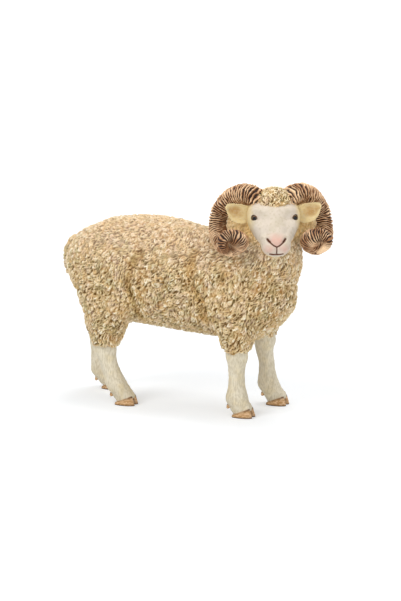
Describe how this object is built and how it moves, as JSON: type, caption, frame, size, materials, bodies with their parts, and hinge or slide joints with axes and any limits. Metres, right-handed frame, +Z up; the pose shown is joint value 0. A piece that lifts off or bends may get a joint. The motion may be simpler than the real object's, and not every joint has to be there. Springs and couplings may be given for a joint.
{
  "type": "toy ram figure",
  "caption": "Rigid farm toy: a standing ram with moulded fleece, spiral horns and its head turned to the side.",
  "frame": {"origin": "on the floor, under the middle of the figure's bounding box", "axes": "+X the way the ram walks, +Y its left side, +Z up"},
  "size_m": [0.0976, 0.0402, 0.0767],
  "materials": {
    "fleece": "moulded curls, cream crests over tan recesses, matt",
    "face": "smooth, painted off-white with a pink nose, satin matt",
    "leg": "fine short-hair relief, matt",
    "horn": "ridged, brown wash in the grooves, matt",
    "ear": "smooth, painted pale tan, matt",
    "hoof": "smooth, painted tan-brown, satin",
    "eye": "smooth, glossy",
    "core": "unpainted filler, out of sight"
  },
  "bodies": {
    "root": {"left_body_shell": "fleece", "right_body_shell": "fleece", "neck_fleece": "fleece", "tail": "fleece", "poll_fleece": "fleece", "body_core": "core", "head": "face", "left_horn": "horn", "right_horn": "horn", "left_ear": "ear", "right_ear": "ear", "left_eye": "eye", "right_eye": "eye", "front_right_leg": "leg", "front_right_hoof": "hoof", "front_left_leg": "leg", "front_left_hoof": "hoof", "rear_right_leg": "leg", "rear_right_hoof": "hoof", "rear_left_leg": "leg", "rear_left_hoof": "hoof"}
  },
  "joints": []
}
